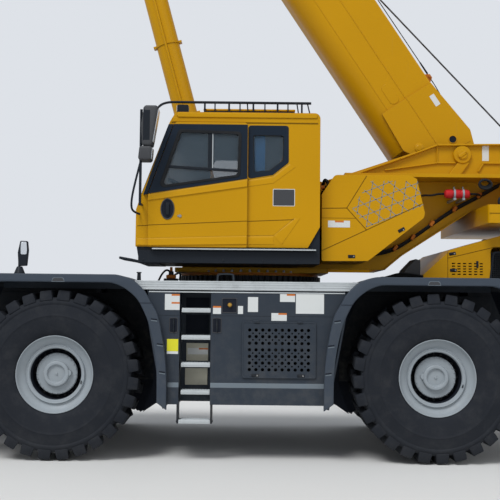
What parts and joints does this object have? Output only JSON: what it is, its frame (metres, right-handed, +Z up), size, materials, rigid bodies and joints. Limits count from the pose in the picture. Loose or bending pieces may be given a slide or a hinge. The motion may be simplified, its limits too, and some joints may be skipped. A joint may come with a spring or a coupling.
{
  "type": "mobile crane",
  "caption": "Rough-terrain mobile crane with steered wheels, slewing superstructure, side cab, telescopic boom, lift cylinder, hook block and sliding outriggers",
  "frame": {"origin": "on the ground under the slewing axis, midway between the axles within 30 mm", "axes": "-X is the front of the carrier, +Y its right side, +Z up"},
  "size_m": [9.8005, 3.352, 14.3815],
  "materials": {
    "bare_aluminium": "ribbed bare aluminium",
    "black_paint": "satin black",
    "cab_glazing": "lightly tinted",
    "chromed_rod": "ground and chromed",
    "dark_grey_paint": "satin dark grey",
    "grey_plastic": "moulded grain",
    "lamp_lens": "clear ribbed",
    "primer_orange": "worn orange-brown paint",
    "rim_paint": "satin light grey",
    "seat_fabric": "woven tan",
    "steel": "greased steel",
    "tyre_rubber": "dusty black rubber",
    "yellow_paint": "semi-gloss machine yellow with light dust"
  },
  "bodies": {
    "carrier": {"carrier_frame": "dark_grey_paint", "outrigger_boxes": "dark_grey_paint", "deck": "dark_grey_paint", "deck_edge": "bare_aluminium", "fenders": "dark_grey_paint", "side_cabinet_left": "dark_grey_paint", "side_cabinet_right": "dark_grey_paint", "ladder_treads": "bare_aluminium", "engine_hood": "yellow_paint", "engine_block": "black_paint", "bumpers": "dark_grey_paint", "lamps": "lamp_lens", "front_axle": "black_paint", "rear_axle": "black_paint", "slewing_gear": "black_paint"},
    "side_door_leaf": {"side_door": "dark_grey_paint"},
    "upper": {"turntable": "yellow_paint", "cab_shell": "yellow_paint", "cab_glass": "cab_glazing", "cab_base": "black_paint", "driver_seat": "seat_fabric", "consoles": "grey_plastic", "cab_fittings": "black_paint", "side_shrouds": "yellow_paint", "counterweight": "yellow_paint", "main_winch": "primer_orange"},
    "cab_sliding_door": {"cab_door": "yellow_paint", "cab_door_glass": "cab_glazing"},
    "boom": {"boom_base": "yellow_paint"},
    "tele_1": {"boom_section_1": "yellow_paint"},
    "tele_2": {"boom_section_2": "yellow_paint"},
    "tele_3": {"boom_section_3": "yellow_paint"},
    "tele_4": {"boom_section_4": "yellow_paint", "boom_head": "yellow_paint"},
    "hook": {"hoist_falls": "steel", "hook_block": "yellow_paint"},
    "lift_rod": {"lift_cylinder_rod": "chromed_rod"},
    "lift_barrel": {"lift_cylinder_barrel": "yellow_paint"},
    "steer_front_left": {"knuckle_front_left": "black_paint"},
    "roll_front_left": {"tyre_front_left": "tyre_rubber", "wheel_front_left": "rim_paint"},
    "reach_front_left": {"beam_front_left": "dark_grey_paint"},
    "stand_front_left": {"jack_front_left": "steel"},
    "steer_front_right": {"knuckle_front_right": "black_paint"},
    "roll_front_right": {"tyre_front_right": "tyre_rubber", "wheel_front_right": "rim_paint"},
    "reach_front_right": {"beam_front_right": "dark_grey_paint"},
    "stand_front_right": {"jack_front_right": "steel"},
    "steer_rear_left": {"knuckle_rear_left": "black_paint"},
    "roll_rear_left": {"tyre_rear_left": "tyre_rubber", "wheel_rear_left": "rim_paint"},
    "reach_rear_left": {"beam_rear_left": "dark_grey_paint"},
    "stand_rear_left": {"jack_rear_left": "steel"},
    "steer_rear_right": {"knuckle_rear_right": "black_paint"},
    "roll_rear_right": {"tyre_rear_right": "tyre_rubber", "wheel_rear_right": "rim_paint"},
    "reach_rear_right": {"beam_rear_right": "dark_grey_paint"},
    "stand_rear_right": {"jack_rear_right": "steel"}
  },
  "joints": [
    {"name": "steering_front_left", "type": "hinge", "parent": "carrier", "child": "steer_front_left", "pos_m": [-2.015, -0.95, 0.887], "axis": [0, 0, 1], "range_deg": [-24, 24]},
    {"name": "rolling_front_left", "type": "hinge", "parent": "steer_front_left", "child": "roll_front_left", "pos_m": [-2.015, -1.225, 0.887], "axis": [0, 1, 0], "continuous": true},
    {"name": "beam_slide_front_left", "type": "slide", "parent": "carrier", "child": "reach_front_left", "axis": [0, -1, 0], "range_m": [0, 1.9]},
    {"name": "jack_slide_front_left", "type": "slide", "parent": "reach_front_left", "child": "stand_front_left", "axis": [0, 0, -1], "range_m": [0, 0.55]},
    {"name": "steering_front_right", "type": "hinge", "parent": "carrier", "child": "steer_front_right", "pos_m": [-2.015, 0.95, 0.887], "axis": [0, 0, 1], "range_deg": [-24, 24]},
    {"name": "rolling_front_right", "type": "hinge", "parent": "steer_front_right", "child": "roll_front_right", "pos_m": [-2.015, 1.225, 0.887], "axis": [0, 1, 0], "continuous": true},
    {"name": "beam_slide_front_right", "type": "slide", "parent": "carrier", "child": "reach_front_right", "axis": [0, 1, 0], "range_m": [0, 1.9]},
    {"name": "jack_slide_front_right", "type": "slide", "parent": "reach_front_right", "child": "stand_front_right", "axis": [0, 0, -1], "range_m": [0, 0.55]},
    {"name": "steering_rear_left", "type": "hinge", "parent": "carrier", "child": "steer_rear_left", "pos_m": [1.96, -0.95, 0.887], "axis": [0, 0, 1], "range_deg": [-24, 24]},
    {"name": "rolling_rear_left", "type": "hinge", "parent": "steer_rear_left", "child": "roll_rear_left", "pos_m": [1.96, -1.225, 0.887], "axis": [0, 1, 0], "continuous": true},
    {"name": "beam_slide_rear_left", "type": "slide", "parent": "carrier", "child": "reach_rear_left", "axis": [0, -1, 0], "range_m": [0, 1.9]},
    {"name": "jack_slide_rear_left", "type": "slide", "parent": "reach_rear_left", "child": "stand_rear_left", "axis": [0, 0, -1], "range_m": [0, 0.55]},
    {"name": "steering_rear_right", "type": "hinge", "parent": "carrier", "child": "steer_rear_right", "pos_m": [1.96, 0.95, 0.887], "axis": [0, 0, 1], "range_deg": [-24, 24]},
    {"name": "rolling_rear_right", "type": "hinge", "parent": "steer_rear_right", "child": "roll_rear_right", "pos_m": [1.96, 1.225, 0.887], "axis": [0, 1, 0], "continuous": true},
    {"name": "beam_slide_rear_right", "type": "slide", "parent": "carrier", "child": "reach_rear_right", "axis": [0, 1, 0], "range_m": [0, 1.9]},
    {"name": "jack_slide_rear_right", "type": "slide", "parent": "reach_rear_right", "child": "stand_rear_right", "axis": [0, 0, -1], "range_m": [0, 0.55]},
    {"name": "slewing", "type": "hinge", "parent": "carrier", "child": "upper", "pos_m": [0, 0, 1.958], "axis": [0, 0, 1], "continuous": true},
    {"name": "luffing", "type": "hinge", "parent": "upper", "child": "boom", "pos_m": [2.451, 0, 3.39], "axis": [0, 1, 0], "range_deg": [-57.4, 21.6]},
    {"name": "telescoping", "type": "slide", "parent": "boom", "child": "tele_1", "axis": [-0.5534, 0, 0.8329], "range_m": [0, 7.9]},
    {"name": "hook_hang", "type": "hinge", "parent": "tele_4", "child": "hook", "pos_m": [-5.23519, 0, 13.45881], "axis": [0, 1, 0], "range_deg": [-21.6, 57.4]},
    {"name": "rod_swing", "type": "hinge", "parent": "boom", "child": "lift_rod", "pos_m": [-2.13341, 0, 8.80831], "axis": [0, 1, 0], "range_deg": [-18.32, 6.93]},
    {"name": "barrel_slide", "type": "slide", "parent": "lift_rod", "child": "lift_barrel", "axis": [0.2643, 0, -0.9644], "range_m": [-2.3469, 0.8838]},
    {"name": "cab_door_slide", "type": "slide", "parent": "upper", "child": "cab_sliding_door", "axis": [1, 0, 0], "range_m": [0, 0.72]},
    {"name": "side_door_hinge", "type": "hinge", "parent": "carrier", "child": "side_door_leaf", "pos_m": [0.3115, -1.5073, 1.461], "axis": [-1, 0, 0], "range_deg": [0, 110]},
    {"name": "telescoping_2", "type": "slide", "parent": "tele_1", "child": "tele_2", "axis": [-0.5534, 0, 0.8329], "range_m": [0, 7.9]},
    {"name": "telescoping_3", "type": "slide", "parent": "tele_2", "child": "tele_3", "axis": [-0.5534, 0, 0.8329], "range_m": [0, 7.9]},
    {"name": "telescoping_4", "type": "slide", "parent": "tele_3", "child": "tele_4", "axis": [-0.5534, 0, 0.8329], "range_m": [0, 7.9]}
  ],
  "couplings": [
    {"joint": "steering_front_right", "follows": "steering_front_left", "ratio": 1},
    {"joint": "steering_rear_right", "follows": "steering_rear_left", "ratio": 1},
    {"joint": "telescoping_2", "follows": "telescoping", "ratio": 1},
    {"joint": "telescoping_3", "follows": "telescoping", "ratio": 1},
    {"joint": "telescoping_4", "follows": "telescoping", "ratio": 1},
    {"joint": "hook_hang", "follows": "luffing", "ratio": -1},
    {"joint": "rod_swing", "follows": "luffing", "ratio": 0.31837},
    {"joint": "barrel_slide", "follows": "luffing", "m_per_rad": 2.3417}
  ]
}
